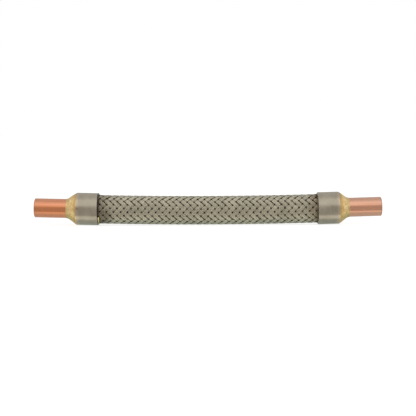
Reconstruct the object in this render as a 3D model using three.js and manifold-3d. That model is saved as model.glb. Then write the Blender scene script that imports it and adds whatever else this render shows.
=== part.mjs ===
// A braided vibration eliminator for a refrigeration line: a corrugated steel hose inside a woven
// wire braid, held at each end by a steel ferrule that is brazed round a copper tube stub.
// Millimetres, +Z up. The part lies along X with its middle bowed slightly down, and stands on z = 0.
import * as THREE from "three";
import { mergeGeometries, mergeVertices } from "three/addons/utils/BufferGeometryUtils.js";
import Module from "manifold-3d";

const wasm = await Module();
wasm.setup();

// Lengths along the part
const overallLength = 210;
const ferruleSetback = 25.3;
const ferruleLength = 13.5;
const stubLength = 36;
const hoseInset = 0.2;
const backingRingLength = 7;

// Copper stub
const stubOuterRadius = 5.8;
const stubWall = 1;
const mouthRounding = 0.45;
const boreChamfer = 0.1;

// Corrugated hose
const hoseWall = 0.3;
const corrugationHeight = 1.5;
const corrugationPitch = 4.4;
const cuffLength = 9;

// Braid
const braidWall = 0.75;
const carriers = 24;
const braidPitch = 4.2;
const braidTurn = THREE.MathUtils.degToRad(24);
const gapSize = 0.62;
const stepsPerGap = 24;
const gapStagger = 5;

// Levels of the weave in the braid's wall, as shares of its thickness from the inside
const pitLevel = 0.25;
const diveLevel = 0.4;
const slopeLevel = 0.65;

// Ferrule
const ferruleWall = 0.75;
const rimRounding = 0.2;
const leftLipRounding = 0.3;
const rightLipRounding = 0.6;

// Braze
const brazeFilm = 0.15;
const coneAngle = THREE.MathUtils.degToRad(38);
const toeRounding = 1.8;
const crestRounding = 0.8;
const runWidth = 0.9;
const runRounding = 0.22;
const runFrom = THREE.MathUtils.degToRad(28);
const runTo = THREE.MathUtils.degToRad(68);

// Clearances between pieces
const fitGap = 0.2;
const brazeGap = 0.1;
const hoseToBraid = 0.15;
const ferruleClearance = 0.35;

// Bow of the flexible middle, as the angle between the two stubs
const bowAngle = THREE.MathUtils.degToRad(3);

const tubeSides = 36;
const ringSides = 24;
const hoseSides = 16;
const skinSteps = 6;

// Radii that follow from the sizes above, from the middle out
const cuffInner = stubOuterRadius + fitGap;
const cuffOuter = cuffInner + hoseWall;
const hoseCrest = cuffOuter + corrugationHeight;
const braidInner = hoseCrest + hoseToBraid;
const braidOuter = braidInner + braidWall;
const ferruleInner = braidOuter + ferruleClearance;
const ferruleOuter = ferruleInner + ferruleWall;

// The flexible length runs between the two ferrule lips
const lip = ferruleSetback + ferruleLength;
const flexibleHalf = overallLength / 2 - lip;
const bowRadius = (2 * flexibleHalf) / bowAngle;

const stainless = new THREE.MeshStandardMaterial({ color: 0xa8a08f, roughness: 0.38, metalness: 1 });
const braidSteel = new THREE.MeshStandardMaterial({ color: 0x9f9785, roughness: 0.42, metalness: 1 });
const copper = new THREE.MeshStandardMaterial({ color: 0xc98462, roughness: 0.3, metalness: 1 });
const brass = new THREE.MeshStandardMaterial({ color: 0xcdb36d, roughness: 0.45, metalness: 1 });

// A ring turned about X from a closed outline of [distance along X, radius] pairs. A flat side is lowest.
function turned(outline, sides) {
  const profile = [...outline, outline[0]].map(([along, radius]) => new THREE.Vector2(radius, along));
  return new THREE.LatheGeometry(profile, sides, Math.PI / sides).rotateZ(-Math.PI / 2);
}

// The outline points of a round corner, from one angle to another.
function corner(along, radius, rounding, from, to, steps) {
  const points = [];
  for (let i = 0; i <= steps; i++) {
    const angle = from + ((to - from) * i) / steps;
    points.push([along + rounding * Math.cos(angle), radius + rounding * Math.sin(angle)]);
  }
  return points;
}

// Bends a straight geometry onto the bowed centreline. Past the ferrule lips the line runs straight.
function bowed(geometry) {
  const position = geometry.getAttribute("position");
  for (let i = 0; i < position.count; i++) {
    const along = position.getX(i);
    const flexible = THREE.MathUtils.clamp(along, -flexibleHalf, flexibleHalf);
    const angle = flexible / bowRadius;
    const straight = along - flexible;
    const height = position.getZ(i);
    position.setX(i, (bowRadius - height) * Math.sin(angle) + straight * Math.cos(angle));
    position.setZ(i, bowRadius - (bowRadius - height) * Math.cos(angle) + straight * Math.sin(angle));
  }
  return geometry;
}

function solidOf(geometry) {
  const bare = geometry.clone();
  bare.deleteAttribute("normal");
  bare.deleteAttribute("uv");
  const merged = mergeVertices(bare, 1e-4);
  return new wasm.Manifold(
    new wasm.Mesh({
      numProp: 3,
      vertProperties: merged.getAttribute("position").array,
      triVerts: new Uint32Array(merged.index.array),
    }),
  );
}

function geometryOf(solid) {
  const { vertProperties, triVerts } = solid.getMesh();
  const geometry = new THREE.BufferGeometry();
  geometry.setAttribute("position", new THREE.BufferAttribute(vertProperties, 3));
  geometry.setIndex(new THREE.BufferAttribute(triVerts, 1));
  return geometry;
}

// End fittings are drawn from the ferrule lip, at x = 0, out to the stub's mouth at x = -lip.
function copperStub() {
  const inner = stubOuterRadius - stubWall;
  const shoulder = stubOuterRadius - mouthRounding;
  return turned(
    [
      [boreChamfer - lip, inner],
      [-lip, inner + boreChamfer],
      ...corner(mouthRounding - lip, shoulder, mouthRounding, Math.PI, Math.PI / 2, 2),
      [stubLength - lip, stubOuterRadius],
      [stubLength - lip, inner],
    ],
    tubeSides,
  );
}

// The braze runs from a thin toe on the stub up a cone to the ferrule's rim.
function brazeFillet() {
  const base = -ferruleLength - brazeGap;
  const film = stubOuterRadius + brazeFilm;
  const crest = corner(base, ferruleOuter - crestRounding, crestRounding, Math.PI / 2 + coneAngle, Math.PI / 2, 2);
  const [crestStart] = crest;
  const toeTop = film + toeRounding * (1 - Math.cos(coneAngle));
  const toeEnd = crestStart[0] - (crestStart[1] - toeTop) / Math.tan(coneAngle);
  const toeStart = toeEnd - toeRounding * Math.sin(coneAngle);
  const toe = corner(toeStart, film + toeRounding, toeRounding, -Math.PI / 2, coneAngle - Math.PI / 2, 3);
  const inner = stubOuterRadius + brazeGap;
  return turned([[toeStart - brazeFilm, inner], ...toe, ...crest, [base, inner]], tubeSides);
}

// The lip, where the braid comes out, is rounder than the rim under the braze.
function ferrule(lipRounding) {
  return turned(
    [
      [-ferruleLength, ferruleInner],
      [-ferruleLength, ferruleOuter - rimRounding],
      [rimRounding - ferruleLength, ferruleOuter],
      ...corner(-lipRounding, ferruleOuter - lipRounding, lipRounding, Math.PI / 2, 0, 2),
      [0, ferruleInner],
    ],
    tubeSides,
  );
}

// The ring that holds the braid's end out to the ferrule, round the hose's cuff.
function backingRing() {
  const start = hoseInset - ferruleLength;
  const inner = cuffOuter + fitGap;
  const outer = braidInner - fitGap;
  return turned(
    [
      [start, inner],
      [start, outer],
      [start + backingRingLength, outer],
      [start + backingRingLength, inner],
    ],
    ringSides,
  );
}

// A short bead of braze that ran through and set against the ferrule's lip, low on the front. It is
// drawn flat, from the front round to below, and then stood up across the axis.
function brazeRun() {
  const outer = ferruleOuter - leftLipRounding - runRounding;
  const inner = braidOuter + brazeGap + runRounding;
  const outline = new THREE.Shape();
  outline.absarc(0, 0, outer, runFrom, runTo, false);
  outline.absarc(0, 0, inner, runTo, runFrom, true);
  const bead = new THREE.ExtrudeGeometry(outline, {
    depth: runWidth - 2 * runRounding,
    curveSegments: 6,
    bevelThickness: runRounding,
    bevelSize: runRounding,
    bevelSegments: 2,
  });
  bead.translate(0, 0, runRounding + brazeGap);
  const front = new THREE.Vector3(0, -1, 0);
  const down = new THREE.Vector3(0, 0, -1);
  const outward = new THREE.Vector3(1, 0, 0);
  return bead.applyMatrix4(new THREE.Matrix4().makeBasis(front, down, outward));
}

function corrugatedHose() {
  const end = flexibleHalf + ferruleLength - hoseInset;
  const start = end - cuffLength;
  const count = Math.round((2 * start) / corrugationPitch);
  const step = start / count;
  const outside = [[-end, cuffOuter]];
  for (let i = 0; i <= 2 * count; i++) {
    outside.push([i * step - start, i % 2 ? hoseCrest : cuffOuter]);
  }
  outside.push([end, cuffOuter]);
  const inside = outside.map(([along, radius]) => [along, radius - hoseWall]).reverse();
  return bowed(turned([...outside, ...inside], hoseSides));
}

// The braid is a wall whose outer skin follows the weave: each strand floats over two strands of the
// other lay and dives under the next two. A crossing is a diamond of eight triangles, with a pit at
// each corner, where four strands leave a gap. Rows run round the braid and steps run along it.
function wireBraid() {
  const half = flexibleHalf + ferruleLength - hoseInset;
  const steps = 2 * Math.round((2 * half) / braidPitch);
  const step = (2 * half) / steps;
  const rowAngle = (2 * Math.PI) / carriers;
  const under = braidInner + diveLevel * braidWall;
  const between = braidInner + slopeLevel * braidWall;
  const pit = braidInner + pitLevel * braidWall;
  const point = (row, along, radius) => [
    along * step - half,
    radius * Math.sin(braidTurn + row * rowAngle),
    radius * Math.cos(braidTurn + row * rowAngle),
  ];

  // Two rows of floats lean one way, then two rows the other way.
  const leansRight = (row) => ((row % 4) + 4) % 4 < 2;
  const sideRadius = (row, side, leaning) => {
    const here = leansRight(row) === leaning;
    const there = leansRight(row + side) === leaning;
    if (here && there) return braidOuter;
    return here || there ? between : under;
  };

  const corners = [];
  const triangle = (a, b, c) => corners.push(...a, ...b, ...c);
  for (let along = 0; along <= steps; along++) {
    for (let row = along % 2; row < carriers; row += 2) {
      const centre = point(row, along, braidOuter);
      const fan = [
        point(row + 1, along, pit),
        point(row + 0.5, along + 0.5, sideRadius(row, 1, true)),
        point(row, along + 1, pit),
        point(row - 0.5, along + 0.5, sideRadius(row, -1, false)),
        point(row - 1, along, pit),
        point(row - 0.5, along - 0.5, sideRadius(row, -1, true)),
        point(row, along - 1, pit),
        point(row + 0.5, along - 0.5, sideRadius(row, 1, false)),
      ];
      const first = along === steps ? 4 : 0;
      const last = along === 0 ? 4 : 8;
      for (let i = first; i < last; i++) triangle(centre, fan[(i + 1) % 8], fan[i]);
    }
  }

  // The smooth inner skin and the two cut ends
  const inner = (row, along) => point(row, along, braidInner);
  const outer = (row, along) => point(row, along, (row + along) % 2 ? pit : braidOuter);
  for (let row = 0; row < carriers; row++) {
    for (let near = 0; near < steps; near += skinSteps) {
      const far = Math.min(near + skinSteps, steps);
      triangle(inner(row, near), inner(row + 1, near), inner(row, far));
      triangle(inner(row + 1, near), inner(row + 1, far), inner(row, far));
    }
    triangle(inner(row, 0), outer(row, 0), outer(row + 1, 0));
    triangle(inner(row, 0), outer(row + 1, 0), inner(row + 1, 0));
    triangle(inner(row, steps), outer(row + 1, steps), outer(row, steps));
    triangle(inner(row, steps), inner(row + 1, steps), outer(row + 1, steps));
  }
  const skin = new THREE.BufferGeometry();
  skin.setAttribute("position", new THREE.Float32BufferAttribute(corners, 3));
  const wall = solidOf(mergeVertices(bowed(skin), 1e-4));

  // The wall is pierced at an even share of the gaps that show between the ferrules.
  const hiddenSteps = 2 * Math.ceil((half - flexibleHalf) / step / 2) + 1;
  const gapRadius = gapSize / Math.SQRT2;
  const piercings = [];
  for (let row = 0; row < carriers; row++) {
    const first = hiddenSteps + ((gapStagger * row) % stepsPerGap);
    for (let along = first; along < steps - hiddenSteps; along += stepsPerGap) {
      const piercing = new THREE.CylinderGeometry(gapRadius, gapRadius, 4 * braidWall, 4);
      piercing.translate(0, braidInner, 0);
      piercing.rotateX(Math.PI / 2 - braidTurn - row * rowAngle);
      piercing.translate(along * step - half, 0, 0);
      piercings.push(bowed(piercing));
    }
  }
  return geometryOf(wall.subtract(solidOf(mergeGeometries(piercings))));
}

function named(name, geometry, material) {
  const mesh = new THREE.Mesh(geometry, material);
  mesh.name = name;
  return mesh;
}

// One end's rigid pieces, carried at the end of the bowed length.
function endFitting(side, lipRounding) {
  const fitting = new THREE.Group();
  fitting.add(
    named(`${side}_copper_stub`, copperStub(), copper),
    named(`${side}_braze_fillet`, brazeFillet(), brass),
    named(`${side}_ferrule`, ferrule(lipRounding), stainless),
    named(`${side}_backing_ring`, backingRing(), stainless),
  );
  const outward = side === "left" ? -1 : 1;
  const tilt = bowAngle / 2;
  fitting.position.set(outward * bowRadius * Math.sin(tilt), 0, bowRadius * (1 - Math.cos(tilt)));
  fitting.rotation.set(0, -outward * tilt, outward > 0 ? Math.PI : 0);
  return fitting;
}

const assembly = new THREE.Group();
const leftFitting = endFitting("left", leftLipRounding);
leftFitting.add(named("left_braze_run", brazeRun(), brass));
assembly.add(
  named("corrugated_hose", corrugatedHose(), stainless),
  named("wire_braid", wireBraid(), braidSteel),
  leftFitting,
  endFitting("right", rightLipRounding),
);

// Set the part down so that its lowest point is at z = 0.
assembly.position.z = -new THREE.Box3().setFromObject(assembly, true).min.z;

const vibrationEliminator = new THREE.Group();
vibrationEliminator.add(assembly);

export default vibrationEliminator;
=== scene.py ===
import math

import bmesh
import bpy
from mathutils import Matrix, Vector, noise


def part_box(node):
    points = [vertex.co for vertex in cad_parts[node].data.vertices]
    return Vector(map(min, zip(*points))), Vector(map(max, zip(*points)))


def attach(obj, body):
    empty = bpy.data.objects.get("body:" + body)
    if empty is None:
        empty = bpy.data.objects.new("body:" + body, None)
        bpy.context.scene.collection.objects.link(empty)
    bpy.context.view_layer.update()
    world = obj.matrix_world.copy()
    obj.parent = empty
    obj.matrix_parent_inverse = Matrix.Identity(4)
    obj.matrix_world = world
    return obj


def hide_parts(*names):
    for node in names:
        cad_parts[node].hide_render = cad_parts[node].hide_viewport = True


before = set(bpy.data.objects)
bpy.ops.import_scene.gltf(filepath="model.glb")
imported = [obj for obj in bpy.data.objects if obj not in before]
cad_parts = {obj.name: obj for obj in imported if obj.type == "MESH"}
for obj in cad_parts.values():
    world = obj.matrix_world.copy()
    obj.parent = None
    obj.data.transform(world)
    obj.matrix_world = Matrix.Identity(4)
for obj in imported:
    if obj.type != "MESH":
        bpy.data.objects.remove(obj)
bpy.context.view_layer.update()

bl_info = {
    "name": "Vibration Eliminator",
    "version": (1, 0, 0),
    "blender": (4, 5, 0),
    "location": "View3D > Sidebar > Eliminator",
    "description": "Braided hose connector with brazed copper stubs, built round its fixed frame",
    "category": "Add Mesh",
}

MM = 0.001
TURN = 2 * math.pi
BODY = "root"
SIDES = ("left", "right")
LATTICE = "place_in_weave"

# Steps round a full turn, in a round corner, down the braze's slope and in a fold of the hose
STUB_SIDES = 128
SLEEVE_SIDES = 160
HOSE_SIDES = 64
BORE_STEPS = 3
RIM_STEPS = 6
CORNER_STEPS = 8
SLOPE_STEPS = 8
FOLD_STEPS = 10

# Angle in degrees over which an edge stays sharp
TURNED_CREASE = 40
BRAZE_CREASE = 70
WIRE_CREASE = 80

# Points nearer than this are one
MERGE_DISTANCE = MM / 1000

# Centreline


def sizes():
    """The sizes that the panel shows."""
    return bpy.context.scene.eliminator_sizes


def finishes():
    """The colours that the panel shows."""
    return bpy.context.scene.eliminator_finishes


def own(side, key):
    """A size that each end has of its own."""
    return getattr(sizes(), f"{side}_{key}")


def ferrule_rim():
    """How far the outer rim of a ferrule lies from the middle of the hose."""
    return sizes().overall_length / 2 - sizes().ferrule_setback


def flexible_half():
    """Half of the length that bends, between the two ferrule lips."""
    return ferrule_rim() - sizes().ferrule_length


def bowed(point):
    """Carries a point of the straight part onto the bowed centreline."""
    radius = 2 * flexible_half() / sizes().bow_angle
    flexible = max(-flexible_half(), min(flexible_half(), point[0]))
    straight = point[0] - flexible
    angle = flexible / radius
    reach = radius - point[2]
    return Vector((
        reach * math.sin(angle) + straight * math.cos(angle),
        point[1],
        radius - reach * math.cos(angle) + straight * math.sin(angle),
    ))


def rise():
    """How high the frame carries the middle of the hose, read from where a stub lies."""
    low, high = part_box("left_copper_stub")
    middle = bowed((-(sizes().overall_length - sizes().stub_length) / 2, 0, 0))
    return (low[2] + high[2]) / 2 - middle.z


# Making pieces


def arc(along, radius, rounding, start, end, steps):
    """Points of a round corner, as (distance along, radius), from one angle to another in degrees."""
    points = []
    for step in range(steps + 1):
        angle = math.radians(start + (end - start) * step / steps)
        points.append((along + rounding * math.cos(angle), radius + rounding * math.sin(angle)))
    return points


def spun(outline, segments):
    """A closed outline of (distance along the hose, radius) points, spun round the X axis."""
    made = bmesh.new()
    corners = [made.verts.new((along, 0, radius)) for along, radius in outline]
    edges = [made.edges.new((corner, corners[i - 1])) for i, corner in enumerate(corners)]
    bmesh.ops.spin(
        made, geom=corners + edges, cent=(0, 0, 0), axis=(1, 0, 0), angle=TURN, steps=segments, use_merge=True
    )
    bmesh.ops.remove_doubles(made, verts=made.verts, dist=MERGE_DISTANCE)
    bmesh.ops.recalc_face_normals(made, faces=made.faces)
    return made


def meshed(name, made):
    """The mesh of a finished bmesh."""
    mesh = bpy.data.meshes.new(name)
    made.to_mesh(mesh)
    made.free()
    return mesh


def linked(name, data):
    """An object of some data, linked to the scene."""
    made = bpy.data.objects.new(name, data)
    bpy.context.scene.collection.objects.link(made)
    return made


def placed(name, mesh, material, nodes, sharp):
    """Links a mesh as a piece that stands for its nodes, smooth but for its sharp edges."""
    mesh.shade_smooth()
    mesh.set_sharp_from_angle(angle=math.radians(sharp))
    mesh.materials.append(material)
    piece = linked(name, mesh)
    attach(piece, BODY)
    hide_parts(*nodes)


def set_down(name, made, material, nodes, sharp=TURNED_CREASE):
    """Makes a straight shape a piece on the bowed centreline, at the height that the frame gives."""
    lift = rise()
    for vertex in made.verts:
        vertex.co = bowed(vertex.co) + Vector((0, 0, lift))
    placed(name, meshed(name, made), material, nodes, sharp)


def mirrored(outline, side):
    """An outline drawn for the left end, turned round for the right one."""
    return outline if side == "left" else [(-along, radius) for along, radius in outline]


# Materials

# Noise on the metals: cells in a millimetre, stretch along each axis, and detail
GRAINS = {
    "copper streaks": (1.8, (0.015, 1, 1), 4),
    "copper clouds": (0.12, (0.4, 1, 1), 4),
    "braze mottle": (0.9, (1, 1, 1), 5),
    "braze patches": (0.35, (1, 1, 1), 4),
    "braze brushing": (3, (3, 0.6, 0.6), 3),
    "ferrule lines": (4, (1, 0.08, 0.08), 2),
    "ferrule clouds": (0.16, (1, 1, 1), 4),
    "wire clouds": (0.12, (1, 1, 1), 4),
    # Uneven strength of the painted shade in the weave's pits
    "uneven pit shade": (0.45, (1, 1, 1), 4),
    "hose clouds": (0.4, (1, 1, 1), 4),
    "long wander": (0.18, (1, 1, 1), 3),
    "short wander": (0.45, (1, 1, 1), 3),
}
GRAIN_ROUGHNESS = 0.55

# What a noise, a direction or a depth turns into: from, to, and the result at both
RANGES = {
    "clouds": (0.35, 0.65, 0, 1),
    "copper clouds": (0.5, 0.75, 0, 0.4),
    "left copper gloss": (0.3, 0.7, 0.24, 0.34),
    "right copper gloss": (0.3, 0.7, 0.2, 0.3),
    # Painted dark reflection band on the copper, by how its surface faces up or down
    "painted reflection below": (-0.62, -0.35, 0, 1),
    "left painted reflection above": (0.2, 0.48, 0.9, 0),
    "right painted reflection above": (0.2, 0.48, 0.27, 0),
    "braze mottle": (0.35, 0.62, 0, 1),
    "braze patches": (0.45, 0.62, 0, 0.5),
    "braze brushing": (0.4, 0.7, 0, 0.3),
    "braze gloss": (0.3, 0.7, 0.3, 0.5),
    # Painted shade on the braze, by how far its surface faces down
    "painted braze underside shade": (-0.6, -0.15, 0.6, 0),
    "ferrule gloss": (0.3, 0.7, 0.26, 0.36),
    "sunk wires": (0.13, 0.4, 0, 1),
    "pits": (0.1, 0.27, 1, 0),
    "uneven pit shade": (0.35, 0.6, 0.75, 1),
    "wire gloss": (0, 1, 0.26, 0.7),
}

# Tints that lie beside an edge: from and to in millimetres past it, and the strength at both
BANDS = {
    "braze toe": (3, 5.2, 0, 0.5),
    "braze edge": (0.2, 2, 0.75, 0),
    "warm rim": (-3, -0.6, 0, 0.9),
    "gilt rim": (-0.35, -0.05, 0, 0.7),
    # Painted shade at the left ferrule's lip
    "painted ferrule lip shade": (-0.55, -0.25, 0, 0.95),
    "left heat": (0, 12, 0.8, 0),
    "right heat": (-8, 0, 0, 0.7),
    # Painted shadow on the braid at each ferrule's lip
    "left painted lip shadow": (0.2, 1.6, 0.65, 0),
    "right painted lip shadow": (-2.6, 0, 0, 0.5),
    # Painted shade between the strands, by height above or below the hose's axis
    "painted_shade": (2, 6, 0.28, 0.85),
}

# How far the edge of a tint wanders along the hose, in millimetres
WANDERS = {"braze": 4, "rim": 1.2, "lip": 0.4, "heat": 12, "painted lip shadow": 2}

# Brightness of a metal in its darker places, as a share of its colour
SHADES = {
    "copper streaks": 0.9,
    # Painted shade on the stub's rounded mouth
    "painted mouth shade": 0.68,
    "braze mottle": 0.6,
    "braze patches": 0.95,
    "braze toe": 0.6,
    "ferrule clouds": 0.85,
    "wire clouds": 0.84,
    "hose clouds": 0.7,
}

# Depth of the fine relief, in millimetres
COPPER_RELIEF = 0.004
BRAZE_RELIEF = 0.05
FERRULE_RELIEF = 0.006

HOSE_ROUGHNESS = 0.45
SCORE_STRENGTHS = {"left": 0.5, "right": 0.15}
SPOT_STRENGTH = 0.75
CELL_MIDDLE = (0.5, 0.5, 0)
IN_PLANE = (1, 1, 0)
WHITE = (1, 1, 1)

# Sockets of a mix that belong to colours
MIX_FACTOR = 0
MIX_FIRST = 6
MIX_SECOND = 7
MIX_RESULT = 2


def feed(tree, node, values):
    """Gives a node's inputs their values, each a plain one or a socket to link."""
    for key, value in values.items():
        if isinstance(value, bpy.types.NodeSocket):
            tree.links.new(value, node.inputs[key])
        else:
            node.inputs[key].default_value = value


def add(tree, kind, values=None, **settings):
    """A shader node of one kind, with its settings and what feeds its inputs."""
    made = tree.nodes.new(f"ShaderNode{kind}")
    for key, value in settings.items():
        setattr(made, key, value)
    feed(tree, made, values or {})
    return made


def worked(tree, operation, *sources):
    """The result of one sum on numbers and sockets."""
    return add(tree, "Math", dict(enumerate(sources)), operation=operation).outputs["Value"]


def vector_worked(tree, operation, *sources):
    """The outputs of one sum on vectors."""
    return add(tree, "VectorMath", dict(enumerate(sources)), operation=operation).outputs


def axes(tree, kind):
    """X, Y and Z of a point of the piece, or of the way that its surface faces."""
    place = add(tree, "TexCoord")
    return add(tree, "SeparateXYZ", {"Vector": place.outputs[kind]}).outputs


def carried(tree, source, low, high, at_low, at_high):
    """A value carried from one range to another, and kept in it."""
    values = {"Value": source, "From Min": low, "From Max": high, "To Min": at_low, "To Max": at_high}
    return add(tree, "MapRange", values, interpolation_type="SMOOTHSTEP").outputs["Result"]


def ranged(tree, source, kind):
    """A value carried over by its line in the list of ranges."""
    return carried(tree, source, *RANGES[kind])


def banded(tree, source, edge, kind):
    """A tint beside an edge, by its line in the list of bands. The source and the edge are in metres."""
    start, end, at_start, at_end = BANDS[kind]
    return carried(tree, source, edge + start * MM, edge + end * MM, at_start, at_end)


def tinted(tree, factor, first, second):
    """A mix of two colours, each a plain one or a socket."""
    ends = [each if isinstance(each, bpy.types.NodeSocket) else (*each, 1) for each in (first, second)]
    values = {MIX_FACTOR: factor, MIX_FIRST: ends[0], MIX_SECOND: ends[1]}
    return add(tree, "Mix", values, data_type="RGBA").outputs[MIX_RESULT]


def shaded(colour, kind):
    """A colour at the brightness of its line in the list of shades."""
    return tuple(channel * SHADES[kind] for channel in colour)


def grain(tree, kind):
    """Noise on the piece's own coordinates, by its line in the list of grains."""
    cells_per_mm, stretch, detail = GRAINS[kind]
    place = add(tree, "TexCoord")
    scale = [cells_per_mm / MM * factor for factor in stretch]
    mapping = add(tree, "Mapping", {"Vector": place.outputs["Object"], "Scale": scale})
    values = {"Scale": 1.0, "Detail": detail, "Roughness": GRAIN_ROUGHNESS}
    return add(tree, "TexNoise", {"Vector": mapping.outputs["Vector"], **values}).outputs["Fac"]


def emptied(owner):
    """The node tree of a material or world, without nodes."""
    owner.use_nodes = True
    owner.node_tree.nodes.clear()
    return owner.node_tree


def painted(thing, name):
    """The empty node tree of a new material on something of the stage."""
    paint = bpy.data.materials.new(name)
    thing.data.materials.append(paint)
    return emptied(paint)


def metal(name, colour):
    """A metal. Returns it, its tree and its shader."""
    made = bpy.data.materials.new(name)
    made.diffuse_color = (*colour, 1)
    tree = emptied(made)
    shader = add(tree, "BsdfPrincipled", {"Metallic": 1.0})
    add(tree, "OutputMaterial", {"Surface": shader.outputs["BSDF"]})
    return made, tree, shader


def bumped(tree, shader, height, depth):
    """Raises the surface by a noise, to a depth in millimetres."""
    bump = add(tree, "Bump", {"Height": height, "Strength": 1.0, "Distance": depth * MM})
    feed(tree, shader, {"Normal": bump.outputs["Normal"]})


def ragged_distance(tree, wander, kind="long wander"):
    """The distance along the hose from its middle, in metres, wandering by some millimetres."""
    shift = worked(tree, "MULTIPLY_ADD", grain(tree, kind), wander * MM, -wander * MM / 2)
    return worked(tree, "ADD", axes(tree, "Object")["X"], shift)


def rim_distance(tree, wander):
    """How far a point lies from the hose's middle on either side, wandering in small steps."""
    return worked(tree, "ABSOLUTE", ragged_distance(tree, wander, "short wander"))


def ring_line(tree, side, distance, width, strength):
    """A line round the tube at a distance from the hose's middle, fading to nought beside it."""
    at = -distance if side == "left" else distance
    away = worked(tree, "ABSOLUTE", worked(tree, "SUBTRACT", axes(tree, "Object")["X"], at))
    return carried(tree, away, 0, width, strength, 0)


def spot(tree, along, radius, turn, reach):
    """A tint at a place on the hose, fading to nought. Its turn is the angle below the front."""
    middle = bowed((along, -radius * math.cos(turn), -radius * math.sin(turn)))
    middle.z += rise()
    place = add(tree, "TexCoord")
    away = vector_worked(tree, "DISTANCE", place.outputs["Object"], middle)["Value"]
    return carried(tree, away, 0, reach, SPOT_STRENGTH, 0)


def painted_reflection_band(tree, side):
    """A painted dark reflection band along both sides of a tube, where its surface faces level or a little
    down.
    """
    up = axes(tree, "Normal")["Z"]
    return worked(tree, "MULTIPLY", ranged(tree, up, "painted reflection below"), ranged(tree, up, f"{side} painted reflection above"))


def copper_finish(side):
    """Drawn copper with fine streaks, a painted dark reflection along its middle, and score lines and painted
    shade by the mouth.
    """
    s = sizes()
    colour = finishes().copper if side == "left" else finishes().pale_copper
    made, tree, shader = metal(f"{side} drawn copper", colour)
    streaks = grain(tree, "copper streaks")
    clouds = grain(tree, "copper clouds")
    tone = tinted(tree, ranged(tree, streaks, "clouds"), shaded(colour, "copper streaks"), colour)
    tone = tinted(tree, ranged(tree, clouds, "copper clouds"), tone, finishes().copper_film_and_reflection)
    # Painted dark reflection band along the middle, in the deeper copper tone
    tone = tinted(tree, painted_reflection_band(tree, side), tone, finishes().copper_film_and_reflection)
    mouth = s.overall_length / 2
    for score in own(side, "scores"):
        line = ring_line(tree, side, mouth - score, s.score_width, SCORE_STRENGTHS[side])
        tone = tinted(tree, line, tone, finishes().copper_score)
    # Painted shade on the rounded mouth, which dulls the highlight that it reflects
    edge = ring_line(tree, side, mouth, 2 * s.mouth_rounding, 1)
    tone = tinted(tree, edge, tone, shaded(colour, "painted mouth shade"))
    feed(tree, shader, {"Base Color": tone, "Roughness": ranged(tree, clouds, f"{side} copper gloss")})
    bumped(tree, shader, streaks, COPPER_RELIEF)
    return made


def braze_finish(name, colour, zoned):
    """Gold-coloured filler, mottled and brushed round, and where it is zoned, in the tones of a fillet with
    painted shade underneath.
    """
    made, tree, shader = metal(name, colour)
    mottle = grain(tree, "braze mottle")
    tone = tinted(tree, ranged(tree, mottle, "braze mottle"), shaded(colour, "braze mottle"), colour)
    bright = finishes().braze_bright
    patches = ranged(tree, grain(tree, "braze patches"), "braze patches")
    tone = tinted(tree, patches, tone, shaded(bright, "braze patches"))
    tone = tinted(tree, ranged(tree, grain(tree, "braze brushing"), "braze brushing"), tone, bright)
    if zoned:
        tone = fillet_zones(tree, tone)
    feed(tree, shader, {"Base Color": tone, "Roughness": ranged(tree, mottle, "braze gloss")})
    bumped(tree, shader, mottle, BRAZE_RELIEF)
    return made


def fillet_zones(tree, base):
    """Paints shade on the underside of the braze, and makes the colour duller at its toe and orange beside
    the ferrule.
    """
    along = rim_distance(tree, WANDERS["braze"])
    toe = banded(tree, along, ferrule_rim(), "braze toe")
    tone = tinted(tree, toe, base, shaded(finishes().braze, "braze toe"))
    # Painted shade on the underside, where the braze faces down
    under = ranged(tree, axes(tree, "Normal")["Z"], "painted braze underside shade")
    tone = tinted(tree, under, tone, finishes().dull_braze_and_shade)
    return tinted(tree, banded(tree, along, ferrule_rim(), "braze edge"), tone, finishes().braze_edge)


def ferrule_finish(side):
    """Satin stainless steel with fine lines round it, warm beside the braze."""
    colour = finishes().steel
    made, tree, shader = metal(f"{side} satin ferrule steel", colour)
    clouds = grain(tree, "ferrule clouds")
    tone = tinted(tree, ranged(tree, clouds, "clouds"), shaded(colour, "ferrule clouds"), colour)
    along = rim_distance(tree, WANDERS["rim"])
    tone = tinted(tree, banded(tree, along, ferrule_rim(), "warm rim"), tone, finishes().warm_steel)
    tone = tinted(tree, banded(tree, along, ferrule_rim(), "gilt rim"), tone, finishes().braze)
    # The left ferrule also has a flux stain, and painted shade at its lip
    if side == "left":
        tone = marked(tree, tone)
    feed(tree, shader, {"Base Color": tone, "Roughness": ranged(tree, clouds, "ferrule gloss")})
    bumped(tree, shader, grain(tree, "ferrule lines"), FERRULE_RELIEF)
    return made


def marked(tree, base):
    """Mixes the flux stain and the painted shade at the left ferrule's lip into a colour."""
    s = sizes()
    stain = spot(tree, s.stain_setback - ferrule_rim(), s.ferrule_radius, s.stain_turn, s.stain_reach)
    tone = tinted(tree, stain, base, finishes().stain)
    # Painted shade on the left ferrule's lip, where the braid goes in
    along = ragged_distance(tree, WANDERS["lip"])
    return tinted(tree, banded(tree, along, -flexible_half(), "painted ferrule lip shade"), tone, finishes().painted_shade)


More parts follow.
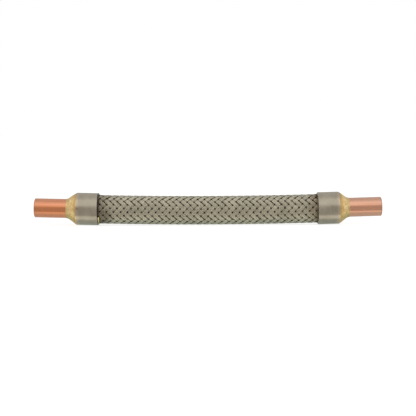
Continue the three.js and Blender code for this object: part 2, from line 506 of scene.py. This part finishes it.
def wire_finish():
    """Fine drawn wire, browned by heat beside each ferrule, with painted shade between the strands and
    painted shadow at the ferrule lips.
    """
    s = sizes()
    colour = finishes().wire
    made, tree, shader = metal("drawn braid wire", colour)
    clouds = ranged(tree, grain(tree, "wire clouds"), "clouds")
    tone = tinted(tree, clouds, shaded(colour, "wire clouds"), colour)
    edge = flexible_half()
    along = ragged_distance(tree, WANDERS["heat"])
    tone = tinted(tree, banded(tree, along, -edge, "left heat"), tone, finishes().heat_brown)
    tone = tinted(tree, banded(tree, along, edge, "right heat"), tone, finishes().heat_red)
    scorch = spot(tree, s.scorch_setback - edge, s.braid_radius, s.scorch_turn, s.scorch_reach)
    tone = tinted(tree, scorch, tone, finishes().scorch)
    # Painted shadow on the braid where it goes into each ferrule
    along = ragged_distance(tree, WANDERS["painted lip shadow"])
    tone = tinted(tree, banded(tree, along, -edge, "left painted lip shadow"), tone, finishes().painted_shade)
    tone = tinted(tree, banded(tree, along, edge, "right painted lip shadow"), tone, finishes().painted_shade)
    # Painted shade in the pits and on the wires that pass under others
    shade = weave_shade(tree)
    tone = tinted(tree, shade, tone, finishes().painted_shade)
    feed(tree, shader, {"Base Color": tone, "Roughness": ranged(tree, shade, "wire gloss")})
    return made


def weave_shade(tree):
    """Painted shade: one in the pits between four strands, up to one on wires that pass under, nought on the
    floats.
    """
    place = add(tree, "Attribute", attribute_name=LATTICE).outputs["Vector"]
    depth = add(tree, "SeparateXYZ", {"Vector": place}).outputs["Z"]
    sunk = worked(tree, "MULTIPLY", ranged(tree, depth, "sunk wires"), shade_depth_by_height(tree))
    corner = vector_worked(tree, "FRACTION", place)["Vector"]
    centred = vector_worked(tree, "SUBTRACT", corner, CELL_MIDDLE)["Vector"]
    flat = vector_worked(tree, "MULTIPLY", centred, IN_PLANE)["Vector"]
    pit = ranged(tree, vector_worked(tree, "LENGTH", flat)["Value"], "pits")
    # The painted shade in the pits varies at random
    uneven_pit_shade = ranged(tree, grain(tree, "uneven pit shade"), "uneven pit shade")
    return worked(tree, "MAXIMUM", sunk, worked(tree, "MULTIPLY", pit, uneven_pit_shade))


def shade_depth_by_height(tree):
    """How dark the painted shade is between the strands: lighter near the hose's mid-height, darker above and
    below it.
    """
    off = worked(tree, "SUBTRACT", axes(tree, "Object")["Z"], rise())
    return banded(tree, worked(tree, "ABSOLUTE", off), 0, "painted_shade")


def hose_shade_finish():
    """Stainless steel painted near black, as the shade seen between the strands of the braid."""
    colour = finishes().hose
    made, tree, shader = metal("hose steel painted as shade", colour)
    clouds = ranged(tree, grain(tree, "hose clouds"), "clouds")
    tone = tinted(tree, clouds, shaded(colour, "hose clouds"), colour)
    # Near-black base colour: painted shade under the braid
    feed(tree, shader, {"Base Color": tone, "Roughness": HOSE_ROUGHNESS})
    return made


# Outlines of the turned pieces, drawn for the left end


def stub_outline(side):
    """A copper tube with a rounded mouth and shallow score lines near it."""
    s = sizes()
    mouth = -s.overall_length / 2
    inner = s.stub_radius - s.stub_wall
    outline = [(mouth + s.bore_chamfer, inner)]
    outline += arc(mouth + s.bore_chamfer, inner + s.bore_chamfer, s.bore_chamfer, -90, -180, BORE_STEPS)[1:]
    shoulder = s.stub_radius - s.mouth_rounding
    outline += arc(mouth + s.mouth_rounding, shoulder, s.mouth_rounding, 180, 90, CORNER_STEPS)
    for score in own(side, "scores"):
        for shift, depth in ((-1, 0), (0, 1), (1, 0)):
            outline.append((mouth + score + shift * s.score_width / 2, s.stub_radius - depth * s.score_depth))
    outline += [(mouth + s.stub_length, s.stub_radius), (mouth + s.stub_length, inner)]
    return mirrored(outline, side)


def fillet_outline(side):
    """The braze, from its thin toe on the stub up a cone to the ferrule's rim."""
    s = sizes()
    slope = math.degrees(s.cone_angle)
    grade = math.tan(s.cone_angle)
    base = -ferrule_rim() - s.braze_gap
    film = s.stub_radius + s.braze_film
    turn = own(side, "rim_rounding")
    touch_along = turn * (1 - math.sin(s.cone_angle)) + s.braze_gap
    touch_radius = s.ferrule_radius - turn * (1 - math.cos(s.cone_angle))
    rim = touch_radius - touch_along * grade
    rim -= s.crest_rounding * (math.sin(s.cone_angle) * grade + math.cos(s.cone_angle) - 1)
    crest = arc(base, rim - s.crest_rounding, s.crest_rounding, 90 + slope, 90, CORNER_STEPS)
    start_along, start_radius = crest[0]
    toe_top = film + s.toe_rounding * (1 - math.cos(s.cone_angle))
    toe_end = start_along - (start_radius - toe_top) / grade
    toe_start = toe_end - s.toe_rounding * math.sin(s.cone_angle)
    toe = arc(toe_start, film + s.toe_rounding, s.toe_rounding, -90, slope - 90, CORNER_STEPS)
    inner = s.stub_radius + s.braze_gap
    foot_along, foot_radius = toe[-1]
    slant = []
    for step in range(1, SLOPE_STEPS):
        along = foot_along + (start_along - foot_along) * step / SLOPE_STEPS
        slant.append((along, foot_radius + (start_radius - foot_radius) * step / SLOPE_STEPS))
    return mirrored([(toe_start - s.braze_film, inner), *toe, *slant, *crest, (base, inner)], side)


def ferrule_outline(side):
    """A short sleeve, sharp under the braze and rounder where the braid comes out."""
    s = sizes()
    rounding = own(side, "lip_rounding")
    start = -ferrule_rim()
    end = start + s.ferrule_length
    inner = s.ferrule_radius - s.ferrule_wall
    turn = own(side, "rim_rounding")
    rim = arc(start + turn, s.ferrule_radius - turn, turn, 180, 90, RIM_STEPS)
    mouth = arc(end - rounding, s.ferrule_radius - rounding, rounding, 90, 0, CORNER_STEPS)
    return mirrored([(start, inner), *rim, *mouth, (end, inner)], side)


def hose_outline():
    """Rounded corrugations between two plain cuffs."""
    s = sizes()
    end = flexible_half() + s.ferrule_length
    start = end - s.cuff_length
    steps = FOLD_STEPS * round(2 * start / s.corrugation_pitch)
    root = s.stub_radius + s.fit_gap + s.hose_wall
    outside = [(-end, root)]
    for step in range(steps + 1):
        along = 2 * start * step / steps - start
        wave = (1 - math.cos(TURN * step / FOLD_STEPS)) / 2
        outside.append((along, root + s.corrugation_height * wave))
    outside.append((end, root))
    return outside + [(along, radius - s.hose_wall) for along, radius in reversed(outside)]


# Shape of the braze

# Distances from the ferrule's rim towards the stub's mouth
LUMPS_FULL_AT = 0.8 * MM
TOE_STARTS_AT = 3.5 * MM
TOE_LENGTH = 2.5 * MM
SWELL_LENGTH = 6 * MM

# How fast the lumps and the ragged edge change, and what sets the noise of the two ends apart
LUMPS_PER_METRE = 520
RAGGED_RATE = 1.6
LUMP_SHIFT = 9
RAGGED_SHIFT = 4

# The inner wall lies one gap off the stub, and what is nearer than this many gaps belongs to it
INNER_WALL_GAPS = 1.01


def roughened(made, side):
    """Gives the turned braze its lumps, its ragged toe and, on the left, its fuller top."""
    s = sizes()
    for vertex in made.verts:
        along, across, up = vertex.co
        radius = math.hypot(across, up)
        if radius < s.stub_radius + INNER_WALL_GAPS * s.braze_gap:
            continue
        around = Vector((0, across, up)) / radius
        outward = math.copysign(1, along)
        past_rim = abs(along) - ferrule_rim()
        lumps = noise.noise(vertex.co * LUMPS_PER_METRE + Vector((outward * LUMP_SHIFT, 0, 0)))
        free = min(1, past_rim / LUMPS_FULL_AT)
        toe = max(0, (past_rim - TOE_STARTS_AT) / TOE_LENGTH)
        ragged = noise.noise(Vector((outward * RAGGED_SHIFT, 0, 0)) + around * RAGGED_RATE)
        vertex.co += around * s.braze_lumps * lumps * free
        if side == "left":
            full = math.sin(math.pi * min(1, past_rim / SWELL_LENGTH))
            vertex.co += around * s.braze_swell * full * max(0, around.z)
        vertex.co.x += outward * toe * s.braze_ragged * ragged


# Braid

# Rows of the other lay that a strand passes over, and then under
FLOAT_ROWS = 2

# How round a wire is in section
WIRE_ROUNDNESS = 1

# Where a strand starts to dive after a crossing, and how long it takes, in crossings
DIVE_START = 0.25
DIVE_LENGTH = 0.5

# How fast the wander of a strand and the shiver of a wire change: by lane, by crossing and by lay
WANDER_RATES = (3.7, 0.13, 5.1)
SHIVER_RATES = (9.1, 0.4, 2.3)
SHIVER_ACROSS = 4


def drawn(rates, lane, along, lean, shift=0):
    """A draw from -1 to 1 that changes slowly along a strand."""
    by_lane, by_crossing, by_lay = rates
    return noise.noise(Vector((lane * by_lane + shift, along * by_crossing, lean * by_lay)))


class Weave:
    """The lattice on which the strands cross: rows run round the braid and steps run along it."""

    def __init__(self):
        s = sizes()
        self.half = flexible_half() + s.ferrule_length
        self.steps = 2 * round(2 * self.half / s.braid_pitch)
        self.step = 2 * self.half / self.steps
        self.row_angle = TURN / s.carriers
        self.top = s.braid_radius - s.wire_diameter / 2
        self.bottom = self.top - s.wire_diameter - s.lay_gap

    def level(self, row, leans_right):
        """How high a strand rides at a crossing: 1 over the other lay, 0 under it."""
        right_over = row % (2 * FLOAT_ROWS) < FLOAT_ROWS
        return 1.0 if right_over == leans_right else 0.0

    def height(self, lane, crossing, leans_right):
        """The strand's level between two crossings. It dives between the strands it crosses."""
        before = math.floor(crossing)
        share = min(1, max(0, (crossing - before - DIVE_START) / DIVE_LENGTH))
        share = share * share * (3 - 2 * share)
        here = self.level(lane + before, leans_right)
        there = self.level(lane + before + 1, leans_right)
        return here + (there - here) * share

    def wire(self, lane, side, leans_right):
        """The points of one wire. Its side runs from -1 to 1 across the strand."""
        s = sizes()
        lean = 1 if leans_right else -1
        samples = self.steps * s.samples_per_step
        points = []
        for sample in range(samples + 1):
            along = sample / s.samples_per_step - self.steps / 2
            wander = s.strand_wander * drawn(WANDER_RATES, lane, along, lean)
            shiver = s.wire_shiver * drawn(SHIVER_RATES, lane, along, lean, side * SHIVER_ACROSS)
            cover = s.strand_cover + s.strand_bunching * math.cos(TURN * (lane + wander + lean * along))
            own_lane = lane + side * cover / 2 + wander + shiver
            row = 2 * own_lane + lean * along
            level = self.height(lane, own_lane + lean * along, leans_right)
            crown = s.strand_crown * side * side
            radius = self.bottom + (self.top - self.bottom) * level - crown
            angle = s.braid_turn + row * self.row_angle
            points.append((along * self.step, radius * math.sin(angle), radius * math.cos(angle)))
        return points

    def strand(self, name, lane, leans_right):
        """A mesh of one strand: its wires side by side."""
        s = sizes()
        lift = Vector((0, 0, rise()))
        curve = bpy.data.curves.new(name, "CURVE")
        curve.dimensions = "3D"
        curve.bevel_depth = s.wire_diameter / 2
        curve.bevel_resolution = WIRE_ROUNDNESS
        curve.use_fill_caps = True
        for wire in range(s.wires_per_strand):
            side = 2 * wire / (s.wires_per_strand - 1) - 1
            points = [bowed(point) + lift for point in self.wire(lane, side, leans_right)]
            spline = curve.splines.new("POLY")
            spline.points.add(len(points) - 1)
            spline.points.foreach_set("co", [value for point in points for value in (*point, 1)])
        holder = linked(name, curve)
        bpy.context.view_layer.update()
        solid = holder.evaluated_get(bpy.context.evaluated_depsgraph_get())
        mesh = bpy.data.meshes.new_from_object(solid)
        bpy.data.objects.remove(holder)
        bpy.data.curves.remove(curve)
        mesh.materials.clear()
        self.mark_places(mesh)
        return mesh

    def mark_places(self, mesh):
        """Notes each point's place among the crossings and its depth, which the wire's finish reads."""
        s = sizes()
        lift = rise()
        places = mesh.attributes.new(LATTICE, "FLOAT_VECTOR", "POINT")
        last_row = 0
        for vertex in mesh.vertices:
            along, across, up = vertex.co
            up -= bowed((along, 0, 0)).z + lift
            row = (math.atan2(across, up) - s.braid_turn) / self.row_angle
            row += s.carriers * round((last_row - row) / s.carriers)
            last_row = row
            crossing = along / self.step
            depth = (s.braid_radius - math.hypot(across, up)) / MM
            places.data[vertex.index].vector = ((row + crossing) / 2, (row - crossing) / 2, depth)


# Settings


def length(name, description, millimetres):
    """A size property, given in millimetres and kept in metres."""
    return bpy.props.FloatProperty(
        name=name, description=description, default=millimetres * MM, unit="LENGTH", precision=5
    )


def angle(name, description, degrees):
    """An angle property, given in degrees."""
    return bpy.props.FloatProperty(
        name=name, description=description, default=math.radians(degrees), subtype="ANGLE", unit="ROTATION"
    )


def colour(name, description, value):
    """A colour property."""
    return bpy.props.FloatVectorProperty(
        name=name, description=description, default=value, subtype="COLOR", size=3, min=0, max=1
    )


def pair(name, description, millimetres):
    """Two lengths, given in millimetres and kept in metres."""
    metres = [value * MM for value in millimetres]
    return bpy.props.FloatVectorProperty(
        name=name, description=description, default=metres, size=2, unit="LENGTH"
    )


def number(name, description, value):
    """A plain number."""
    return bpy.props.FloatProperty(name=name, description=description, default=value)


def count(name, description, value):
    """A whole number."""
    return bpy.props.IntProperty(name=name, description=description, default=value)


class EliminatorSizes(bpy.types.PropertyGroup):
    """Sizes of the hose, its braid and its end fittings."""

    overall_length: length("Overall Length", "From the one mouth to the other", 210)
    bow_angle: angle("Bow", "Angle between the two stubs", 3)

    stub_length: length("Stub Length", "Length of each copper tube", 36)
    stub_radius: length("Stub Radius", "Outer radius of the copper tube", 5.8)
    stub_wall: length("Stub Wall", "Wall of the copper tube", 1)
    mouth_rounding: length("Mouth Rounding", "Rounding of the tube's outer edge", 0.65)
    bore_chamfer: length("Bore Edge", "Rounding of the tube's inner edge", 0.1)
    left_scores: pair("Left Scores", "Score lines on the left stub, from its mouth", (1.7, 2.9))
    right_scores: pair("Right Scores", "Score lines on the right stub, from its mouth", (1.8, 3.6))
    score_width: length("Score Width", "Width of a score line", 0.4)
    score_depth: length("Score Depth", "Depth of a score line", 0.05)

    ferrule_setback: length("Ferrule Setback", "From the stub's mouth to the ferrule", 25.3)
    ferrule_length: length("Ferrule Length", "Length of each ferrule", 13.5)
    ferrule_radius: length("Ferrule Radius", "Outer radius of each ferrule", 9.75)
    stain_setback: length("Stain Setback", "From the left ferrule's rim to its stain", 1.2)
    stain_turn: angle("Stain Turn", "How far below the front that stain lies", -4)
    stain_reach: length("Stain Reach", "From that stain's middle to where it ends", 1.4)
    ferrule_wall: length("Ferrule Wall", "Wall of each ferrule", 0.75)
    left_rim_rounding: length("Left Rim", "Rounding of the left ferrule under the braze", 0.25)
    right_rim_rounding: length("Right Rim", "Rounding of the right ferrule under the braze", 0.7)
    left_lip_rounding: length("Left Lip", "Rounding of the left ferrule over the braid", 0.35)
    right_lip_rounding: length("Right Lip", "Rounding of the right ferrule over the braid", 0.7)

    braze_gap: length("Braze Gap", "Space between the braze and what it joins", 0.03)
    braze_film: length("Braze Film", "Thickness of the braze at its toe", 0.15)
    toe_rounding: length("Toe Rounding", "Radius where the braze meets the stub", 2.8)
    crest_rounding: length("Crest Rounding", "Radius where the braze meets the ferrule", 0.3)
    cone_angle: angle("Cone Angle", "Slope of the braze from the hose's axis", 36.5)
    braze_lumps: length("Braze Lumps", "How far the braze's surface swells and sinks", 0.09)
    braze_swell: length("Braze Swell", "How much fuller the left braze is at its top", 0.35)
    braze_ragged: length("Ragged Toe", "How far the braze's edge wanders", 0.45)

    scorch_setback: length("Scorch Setback", "From the left ferrule's lip to the scorched patch", 2)
    scorch_turn: angle("Scorch Turn", "How far below the front that patch lies", 38)
    scorch_reach: length("Scorch Reach", "From that patch's middle to where it ends", 9)
    fit_gap: length("Fit Gap", "Space between the stub and the hose's cuff", 0.2)
    hose_wall: length("Hose Wall", "Wall of the corrugated hose", 0.3)
    cuff_length: length("Cuff Length", "Plain length at each end of the hose", 9.2)
    corrugation_pitch: length("Corrugation Pitch", "From one corrugation to the next", 4.4)
    corrugation_height: length("Corrugation Height", "Height of a corrugation", 1.5)

    braid_radius: length("Braid Radius", "Radius over the braid", 8.7)
    braid_pitch: length("Braid Pitch", "From one crossing to the next along the hose", 4.2)
    braid_turn: angle("Braid Turn", "Where round the hose the weave starts", 24)
    wire_diameter: length("Wire Diameter", "Diameter of a braid wire", 0.3)
    lay_gap: length("Lay Gap", "Space between the two lays at a crossing", 0.12)
    strand_crown: length("Strand Crown", "How much lower a strand's outer wires lie", 0.1)
    carriers: count("Strands", "Strands in the braid", 24)
    wires_per_strand: count("Wires", "Wires in each strand", 9)
    samples_per_step: count("Samples", "Points on a wire per crossing", 3)
    strand_cover: number("Strand Cover", "Share of its lane between a strand's outer wires", 0.72)
    strand_bunching: number("Strand Bunching", "How much wider a strand lies on a crossing", 0.03)
    strand_wander: number("Strand Wander", "Sideways wander of a strand, in lanes", 0.12)
    wire_shiver: number("Wire Shiver", "Sideways wander of a wire, in lanes", 0.03)


class EliminatorFinishes(bpy.types.PropertyGroup):
    """Colours of the metals and of the painted shade."""

    copper: colour("Copper", "Drawn copper of the left stub", (0.67, 0.29, 0.163))
    pale_copper: colour("Pale Copper", "Pinker copper of the right stub", (0.64, 0.355, 0.245))
    # Deeper copper in random clouds, and the painted dark reflection band along the stubs
    copper_film_and_reflection: colour("Copper Film And Reflection", "Deeper copper, and the painted dark reflection along the middle", (0.6, 0.225, 0.1))
    copper_score: colour("Copper Score", "Tone of a score line", (0.45, 0.22, 0.135))
    braze: colour("Braze", "Gold-coloured filler", (0.8, 0.56, 0.25))
    # Dull filler of the run, and also the painted shade under the fillets
    dull_braze_and_shade: colour("Dull Braze And Shade", "Filler that ran through to the ferrule's lip", (0.42, 0.35, 0.13))
    braze_bright: colour("Bright Braze", "Where the filler is brushed bright", (0.95, 0.77, 0.42))
    braze_edge: colour("Braze Edge", "Filler beside the ferrule", (0.56, 0.35, 0.085))
    stain: colour("Stain", "Flux stain on the left ferrule", (0.3, 0.15, 0.06))
    steel: colour("Ferrule Steel", "Satin stainless steel", (0.38, 0.335, 0.26))
    warm_steel: colour("Warm Steel", "Ferrule steel warmed by the braze", (0.46, 0.375, 0.275))
    wire: colour("Braid Wire", "Drawn stainless wire", (0.525, 0.485, 0.37))
    # Painted near black: the shade seen between the strands
    hose: colour("Hose Steel", "Hose steel painted near black, as the shade under the braid", (0.03, 0.026, 0.022))
    # Painted shade, between the strands and at the ferrule lips
    painted_shade: colour("Painted Shade", "Painted shade between the strands and at the ferrule lips", (0.03, 0.023, 0.016))
    heat_brown: colour("Heat Brown", "Braid beside the left ferrule", (0.24, 0.19, 0.14))
    heat_red: colour("Heat Red", "Braid beside the right ferrule", (0.28, 0.2, 0.125))
    scorch: colour("Scorch", "Dark patch beside the left ferrule", (0.2, 0.175, 0.12))


class EliminatorStage(bpy.types.PropertyGroup):
    """Camera and light."""

    distance: length("Distance", "From the camera to the hose", 650)
    elevation: angle("Elevation", "Height of the camera over the horizon", 4)
    roll: angle("Roll", "Turn of the camera about its own view", -0.25)
    aim_height: length("Aim Height", "Height of the point that it looks at", 10.2)
    picture_scale: number("Picture Scale", "Millimetres of the part in a pixel", 0.6066)
    picture_width: count("Picture Width", "Pixels across", 416)
    room_light: number("Room Light", "Strength of the light from all round", 0.5)
    softbox_light: number("Softbox Light", "What the lamp adds to the room in reflections", 0.3)
    softbox_elevation: angle("Softbox Elevation", "Height of the lamp over the horizon", 50)
    softbox_distance: length("Softbox Distance", "From the lamp to the part", 1200)
    softbox_length: length("Softbox Length", "Length of the lamp", 3000)
    softbox_width: length("Softbox Width", "Width of the lamp", 1100)
    card_distance: length("Card Distance", "From the cards to the part", 1500)
    card_length: length("Card Length", "Length of the cards", 4000)
    strip_start: length("Strip Start", "From the hose's axis to the pale strip", 8.5)
    strip_width: length("Strip Width", "Width of the pale strip", 5.5)
    floor_card_height: length("Floor Card Height", "Height of the floor's cards", 0.2)
    floor_glow: number("Floor Glow", "Share of its white that the floor shows by itself", 0.8)
    floor_mirrored: number("Floor Mirrored", "The same share as reflections see it", 0.56)
    strip_glow: number("Strip Glow", "Strength of the pale strip", 1.25)
    floor_paint: colour("Floor Paint", "Matt paint of the floor", (0.5, 0.5, 0.5))
    floor_tint: colour("Floor Tint", "Tone of the floor as reflections see it", (0.88, 1, 0.98))
    front_card: colour("Front Card", "Card low in front of the part", (0.68, 0.66, 0.64))
    top_card: colour("Top Card", "Card over the part", (0.84, 0.86, 0.88))
    back_card: colour("Back Card", "Card behind the part", (0.7, 0.69, 0.68))
    floor_card: colour("Floor Card", "Card on the floor in front", (0.66, 0.65, 0.63))
    floor_strip: colour("Floor Strip", "Pale strip between that card and the part", (1, 1, 0.96))


# Where each long card starts and ends, in degrees from the front horizon over the top
CARDS = {"front_card": (-3, 20), "top_card": (90, 135), "back_card": (135, 183)}
CARD_STEPS = 12

# Half the side of the floor and of a card before it is scaled, and the nearest that the camera sees
FLOOR_REACH = 20
CARD_REACH = 0.5
NEAREST = 0.01


# Operators


class ELIMINATOR_OT_copper_stubs(bpy.types.Operator):
    """Make the two copper tube stubs"""

    bl_idname = "eliminator.copper_stubs"
    bl_label = "Copper Stubs"

    def execute(self, context):
        for side in SIDES:
            made = spun(stub_outline(side), STUB_SIDES)
            set_down(f"{side}_tube_stub", made, copper_finish(side), [f"{side}_copper_stub"])
        return {"FINISHED"}


class ELIMINATOR_OT_braze_fillets(bpy.types.Operator):
    """Make the braze round the foot of each stub"""

    bl_idname = "eliminator.braze_fillets"
    bl_label = "Braze Fillets"

    def execute(self, context):
        finish = braze_finish("brushed braze", finishes().braze, True)
        for side in SIDES:
            made = spun(fillet_outline(side), SLEEVE_SIDES)
            roughened(made, side)
            set_down(f"{side}_braze", made, finish, [f"{side}_braze_fillet"], BRAZE_CREASE)
        return {"FINISHED"}


class ELIMINATOR_OT_ferrules(bpy.types.Operator):
    """Make the two steel ferrules"""

    bl_idname = "eliminator.ferrules"
    bl_label = "Ferrules"

    def execute(self, context):
        for side in SIDES:
            made = spun(ferrule_outline(side), SLEEVE_SIDES)
            name = f"{side}_ferrule_sleeve"
            set_down(name, made, ferrule_finish(side), [f"{side}_ferrule"])
        return {"FINISHED"}


class ELIMINATOR_OT_hose(bpy.types.Operator):
    """Make the corrugated hose, and finish the rings that back the braid"""

    bl_idname = "eliminator.hose"
    bl_label = "Hose"

    def execute(self, context):
        finish = hose_shade_finish()
        made = spun(hose_outline(), HOSE_SIDES)
        set_down("hose_bellows", made, finish, ["corrugated_hose"])
        for side in SIDES:
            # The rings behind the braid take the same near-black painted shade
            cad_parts[f"{side}_backing_ring"].material_slots[0].material = finish
        return {"FINISHED"}


class ELIMINATOR_OT_braid(bpy.types.Operator):
    """Weave the braid from its strands of fine wire"""

    bl_idname = "eliminator.braid"
    bl_label = "Wire Braid"

    def execute(self, context):
        finish = wire_finish()
        weave = Weave()
        for leans_right in (True, False):
            for lane in range(sizes().carriers // 2):
                name = f"strand_{'right' if leans_right else 'left'}_{lane + 1:02d}"
                mesh = weave.strand(name, lane, leans_right)
                placed(name, mesh, finish, ["wire_braid"], WIRE_CREASE)
        return {"FINISHED"}


class ELIMINATOR_OT_braze_run(bpy.types.Operator):
    """Finish the bead of braze at the left ferrule's lip"""

    bl_idname = "eliminator.braze_run"
    bl_label = "Braze Run"

    def execute(self, context):
        finish = braze_finish("run braze", finishes().dull_braze_and_shade, False)
        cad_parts["left_braze_run"].material_slots[0].material = finish
        return {"FINISHED"}


class ELIMINATOR_OT_stage(bpy.types.Operator):
    """Set up the floor, the light and the camera"""

    bl_idname = "eliminator.stage"
    bl_label = "Stage"

    def execute(self, context):
        stage = context.scene.eliminator_stage
        context.scene.view_settings.view_transform = "Standard"
        self.make_world(stage)
        self.make_floor(stage)
        for name, (low, high) in CARDS.items():
            self.make_card(stage, name, low, high)
        self.make_floor_card(stage, "floor_card", stage.strip_width, stage.card_distance, 1.0)
        self.make_floor_card(stage, "floor_strip", 0, stage.strip_width, stage.strip_glow)
        self.make_softbox(stage)
        self.make_camera(stage)
        return {"FINISHED"}

    def seen_mask(self, tree):
        """One for the rays that see the background: camera, glossy and transmission rays."""
        path = add(tree, "LightPath").outputs
        either = worked(tree, "MAXIMUM", path["Is Camera Ray"], path["Is Glossy Ray"])
        return worked(tree, "MAXIMUM", either, path["Is Transmission Ray"])

    def make_world(self, stage):
        world = bpy.data.worlds.new("studio")
        bpy.context.scene.world = world
        tree = emptied(world)
        lights = {0: self.seen_mask(tree)}
        for slot, level in ((1, stage.room_light), (2, 1.0)):
            light = add(tree, "Background", {"Color": (*WHITE, 1), "Strength": level})
            lights[slot] = light.outputs["Background"]
        mixed = add(tree, "MixShader", lights)
        add(tree, "OutputWorld", {"Surface": mixed.outputs["Shader"]})

    def make_floor(self, stage):
        made = bmesh.new()
        bmesh.ops.create_grid(made, x_segments=1, y_segments=1, size=FLOOR_REACH)
        floor = linked("floor", meshed("floor", made))
        tree = painted(floor, "pale floor")
        path = add(tree, "LightPath").outputs
        matt = add(tree, "BsdfDiffuse", {"Color": (*stage.floor_paint, 1)})
        tone = tinted(tree, path["Is Glossy Ray"], WHITE, stage.floor_tint)
        direct = worked(tree, "MULTIPLY", path["Is Camera Ray"], stage.floor_glow)
        share = worked(tree, "MULTIPLY_ADD", path["Is Glossy Ray"], stage.floor_mirrored, direct)
        glow = add(tree, "Emission", {"Color": tone, "Strength": share})
        both = add(tree, "AddShader", {0: matt.outputs["BSDF"], 1: glow.outputs["Emission"]})
        add(tree, "OutputMaterial", {"Surface": both.outputs["Shader"]})

    def make_card(self, stage, name, low, high):
        """A long card, curved round the hose's axis from one elevation to another in degrees."""
        made = bmesh.new()
        along = Vector((stage.card_length / 2, 0, 0))
        start = Vector((0, -stage.card_distance, 0))
        start.rotate(Matrix.Rotation(math.radians(-low), 3, "X"))
        ends = [made.verts.new(start + along * sign) for sign in (-1, 1)]
        edge = made.edges.new(ends)
        bend = math.radians(high - low)
        bmesh.ops.spin(
            made, geom=[*ends, edge], cent=(0, 0, 0), axis=(-1, 0, 0), angle=bend, steps=CARD_STEPS
        )
        self.hang_card(stage, name, made, 1.0)

    def make_floor_card(self, stage, name, start, depth, strength):
        """A card on the floor in front, from a distance past the start of the strip."""
        made = bmesh.new()
        bmesh.ops.create_grid(made, x_segments=1, y_segments=1, size=CARD_REACH)
        bmesh.ops.scale(made, vec=(stage.card_length, depth, 1), verts=made.verts)
        middle = Vector((0, -stage.strip_start - start - depth / 2, stage.floor_card_height))
        bmesh.ops.translate(made, vec=middle, verts=made.verts)
        self.hang_card(stage, name, made, strength)

    def hang_card(self, stage, name, made, strength):
        """Links a card that only reflections see."""
        card = linked(name, meshed(name, made))
        tree = painted(card, name)
        tone = (*getattr(stage, name), 1)
        glow = add(tree, "Emission", {"Color": tone, "Strength": strength})
        add(tree, "OutputMaterial", {"Surface": glow.outputs["Emission"]})
        card.visible_camera = False
        card.visible_diffuse = False
        card.visible_shadow = False

    def make_softbox(self, stage):
        lamp = bpy.data.lights.new("softbox", "AREA")
        lamp.shape = "RECTANGLE"
        lamp.size = stage.softbox_length
        lamp.size_y = stage.softbox_width
        lamp.energy = stage.softbox_light * math.pi * stage.softbox_length * stage.softbox_width
        softbox = linked("softbox", lamp)
        place = Vector((0, -math.cos(stage.softbox_elevation), math.sin(stage.softbox_elevation)))
        softbox.location = place * stage.softbox_distance
        softbox.rotation_euler = place.to_track_quat("Z", "Y").to_euler()

    def make_camera(self, stage):
        lens = bpy.data.cameras.new("camera")
        camera = linked("camera", lens)
        pixels_per_metre = 1 / (stage.picture_scale * MM)
        lens.lens = stage.distance * pixels_per_metre * lens.sensor_width / stage.picture_width
        lens.clip_start = NEAREST
        aim = Vector((0, 0, stage.aim_height))
        back = Vector((0, -math.cos(stage.elevation), math.sin(stage.elevation)))
        camera.location = aim + back * stage.distance
        facing = (-back).to_track_quat("-Z", "Y").to_matrix().to_4x4()
        camera.rotation_euler = (facing @ Matrix.Rotation(stage.roll, 4, "Z")).to_euler()
        bpy.context.scene.camera = camera


class ELIMINATOR_PT_panel(bpy.types.Panel):
    """Lists the pieces and the stage"""

    bl_label = "Vibration Eliminator"
    bl_idname = "ELIMINATOR_PT_panel"
    bl_space_type = "VIEW_3D"
    bl_region_type = "UI"
    bl_category = "Eliminator"

    def draw(self, context):
        for operator in OPERATORS:
            self.layout.operator(operator.bl_idname)
        for name in SETTINGS:
            group = getattr(context.scene, name)
            for key in group.__annotations__:
                self.layout.prop(group, key)


OPERATORS = (
    ELIMINATOR_OT_copper_stubs,
    ELIMINATOR_OT_braze_fillets,
    ELIMINATOR_OT_braze_run,
    ELIMINATOR_OT_ferrules,
    ELIMINATOR_OT_hose,
    ELIMINATOR_OT_braid,
    ELIMINATOR_OT_stage,
)
SETTINGS = {
    "eliminator_sizes": EliminatorSizes,
    "eliminator_finishes": EliminatorFinishes,
    "eliminator_stage": EliminatorStage,
}
CLASSES = (*SETTINGS.values(), *OPERATORS, ELIMINATOR_PT_panel)


def register():
    """Adds the classes and the settings."""
    for each in CLASSES:
        bpy.utils.register_class(each)
    for name, group in SETTINGS.items():
        setattr(bpy.types.Scene, name, bpy.props.PointerProperty(type=group))


def unregister():
    """Takes the settings and the classes away."""
    for name in SETTINGS:
        delattr(bpy.types.Scene, name)
    for each in reversed(CLASSES):
        bpy.utils.unregister_class(each)


def main():
    """Makes every piece round the frame, then the stage."""
    register()
    bpy.ops.eliminator.copper_stubs()
    bpy.ops.eliminator.braze_fillets()
    bpy.ops.eliminator.braze_run()
    bpy.ops.eliminator.ferrules()
    bpy.ops.eliminator.hose()
    bpy.ops.eliminator.braid()
    bpy.ops.eliminator.stage()


if __name__ == "__main__":
    main()
